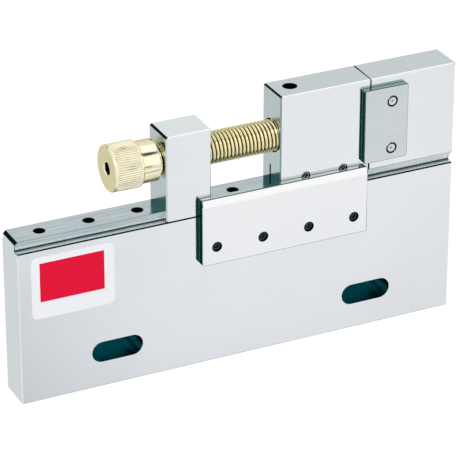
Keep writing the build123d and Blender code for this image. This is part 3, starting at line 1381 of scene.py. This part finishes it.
@dataclass(frozen=True)
class Flag:
    """A soft-edged patch of the surroundings. Its core and its fade are angles from its middle."""

    name: str
    towards: Triple
    colour: Colour
    core: float
    fade: float

    def hang(self, board: Board, direction: Socket, behind: Colour | Socket) -> Socket:
        """Hangs the flag in front of what is there already.

        Args:
            board: the world's board.
            direction: where a ray goes.
            behind: the colour so far.

        Returns:
            The colour with the flag in it.
        """
        middle = Vector(self.towards).normalized()
        near = board.work("VectorMath", "DOT_PRODUCT", direction, middle).outputs["Value"]
        fade, core = (math.cos(math.radians(angle)) for angle in (self.fade, self.core))
        limits = {"Value": near, "From Min": fade, "From Max": core}
        edge = board.add("MapRange", limits, interpolation_type="SMOOTHSTEP", label=self.name)
        return board.blend(edge.outputs["Result"], behind, self.colour)


@dataclass
class Surroundings:
    """A white tent with a few flags, which the polished steel and brass mirror."""

    tent: Colour = (0.91, 0.93, 0.95)
    flags: tuple[Flag, ...] = (
        Flag("back right, above", (0.39, 0.80, 0.45), (0.80, 0.83, 0.84), core=20.0, fade=40.0),
        Flag("back left, below", (-0.39, 0.80, -0.45), (0.74, 0.78, 0.79), core=20.0, fade=40.0),
        Flag("back left, above", (-0.40, 0.80, 0.44), (0.035, 0.17, 0.165), core=10.0, fade=17.0),
        Flag("table before the front", (0.40, -0.80, -0.45), (0.48, 0.52, 0.57), core=9.0, fade=17.0),
        Flag("table below", (0.39, -0.08, -0.92), (0.76, 0.80, 0.81), core=14.0, fade=28.0),
        Flag("card before the front", (0.408, -0.815, -0.412), (1.0, 1.0, 1.01), core=2.0, fade=10.2),
        Flag("back right, below", (0.39, 0.60, -0.70), (0.33, 0.36, 0.36), core=12.0, fade=26.0),
        Flag("window above the front", (0.39, -0.86, 0.33), (1.12, 1.11, 1.09), core=12.0, fade=26.0),
        Flag("roof window", (0.39, 0.0, 0.92), (1.10, 1.10, 1.08), core=14.0, fade=28.0),
        Flag("bar above the front", (0.39, -0.45, 0.80), (0.04, 0.075, 0.075), core=5.5, fade=10.0),
        Flag("bar before the front", (0.39, -0.91, -0.12), (0.10, 0.12, 0.10), core=1.5, fade=4.0),
    )

    def build(self) -> None:
        """Builds the world: white for the camera, and the tent for light and reflections."""
        world = bpy.data.worlds.new("tent")
        bpy.context.scene.world = world
        world.use_nodes = True
        board = Board(world.node_tree)
        board.tree.nodes.clear()
        place = board.add("TexCoord").outputs["Generated"]
        direction = board.work("VectorMath", "NORMALIZE", place).outputs[0]
        colour = self.tent
        for flag in self.flags:
            colour = flag.hang(board, direction, colour)
        seen, lit = (board.add("Background", {"Color": paint}) for paint in (WHITE, colour))
        board.show(seen.outputs[0], lit.outputs[0], "OutputWorld")
        LOG.info("surroundings: white tent with %d flags", len(self.flags))


@dataclass
class Floor:
    """A plain white floor that keeps a soft shadow. It is measured in metres."""

    half_width: float = 4.0
    level: float = -0.00002
    glow: float = 0.80
    paint: float = 0.30
    bounce: float = 0.75

    def build(self) -> None:
        """Lays the floor just under the vise."""
        reach = self.half_width
        corners = ((-reach, -reach), (reach, -reach), (reach, reach), (-reach, reach))
        points = [(x, y, self.level) for x, y in corners]
        floor = add_mesh("floor", points, [range(len(points))], self.material())
        floor.visible_glossy = False

    def material(self) -> Material:
        """Builds the floor's white, which glows a little for the camera alone.

        Returns:
            The material.
        """
        material = bpy.data.materials.new("floor_white")
        material.use_nodes = True
        board = Board(material.node_tree)
        board.tree.nodes.clear()
        painted, bounce = (self.matt(board, level) for level in (self.paint, self.bounce))
        glow = board.add("Emission", {"Color": WHITE, "Strength": self.glow}).outputs[0]
        seen = board.add("AddShader", {0: painted, 1: glow}).outputs[0]
        board.show(seen, bounce, "OutputMaterial")
        return material

    def matt(self, board: Board, level: float) -> Socket:
        """Gives a matt grey shader, as light as the level says."""
        return board.add("BsdfDiffuse", {"Color": (level, level, level)}).outputs[0]


@dataclass(frozen=True)
class SoftBox:
    """A square soft lamp that looks at the vise. It is measured in metres and watts."""

    name: str = "key"
    place: Triple = (-1.1, -1.2, 1.5)
    aim: Triple = (0.0, 0.0, 0.06)
    width: float = 1.0
    power: float = 9.0

    def build(self) -> None:
        """Hangs the lamp."""
        light = bpy.data.lights.new(self.name, "AREA")
        light.size = self.width
        light.energy = self.power
        lamp = bpy.data.objects.new(self.name, light)
        place = Vector(self.place)
        set_up(lamp, place, Vector(self.aim) - place)


@dataclass(frozen=True)
class Viewpoint:
    """The photograph's camera, turned from straight ahead and looking down. Lengths are in mm."""

    place: Triple = (-560.2, -1156.9, 715.0)
    turned: float = 25.75
    down: float = 26.83
    sensor: float = 36.0
    lens: float = 230.5
    nearest: float = 50.0
    farthest: float = 20000.0

    def build(self) -> None:
        """Places the camera."""
        data = bpy.data.cameras.new("camera")
        data.sensor_width = self.sensor
        data.lens = self.lens
        data.clip_start = self.nearest * MM
        data.clip_end = self.farthest * MM
        turned, down = math.radians(self.turned), math.radians(self.down)
        level = math.cos(down)
        ahead = Vector((math.sin(turned) * level, math.cos(turned) * level, -math.sin(down)))
        camera = bpy.data.objects.new("camera", data)
        set_up(camera, Vector(self.place) * MM, ahead)
        bpy.context.scene.camera = camera


def main() -> None:
    """Builds the studio and dresses every piece of the vise."""
    logging.basicConfig(level=logging.INFO, format="%(name)s: %(message)s")
    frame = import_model()
    bpy.context.scene.view_settings.view_transform = "Standard"

    Viewpoint().build()
    Surroundings().build()
    Floor().build()
    SoftBox().build()

    Body().dress(frame)
    guide = Plate("guide_plate", edge=0.35, corner_share=1.6, steel=Steel.BRIGHT, top=Steel.GROUND)
    guide.dress(frame)
    Plate("support_plate", edge=0.35, steel=Steel.SATIN).dress(frame)
    Plate("index_pin", steel=Steel.SATIN).dress(frame)
    Saddle("nut_block", top=Steel.PALE, corner=Steel.SIDE).dress(frame)
    Saddle("moving_jaw").dress(frame)
    LeadScrew().dress()
    ScrewRow([f"guide_screw_{index}" for index in range(1, 5)], Head.SUNK, "base").dress()
    ScrewRow(["support_screw_1", "support_screw_2"], Head.FLUSH, "base").dress()
    ScrewRow(["gib_screw_1", "gib_screw_2"], Head.SETTING, "moving_jaw").dress()
    ScrewRow(["retaining_screw"], Head.RETAINING, "moving_jaw", along=-UP, up=-LEFT).dress()
    Label().dress()


if __name__ == "__main__":
    main()
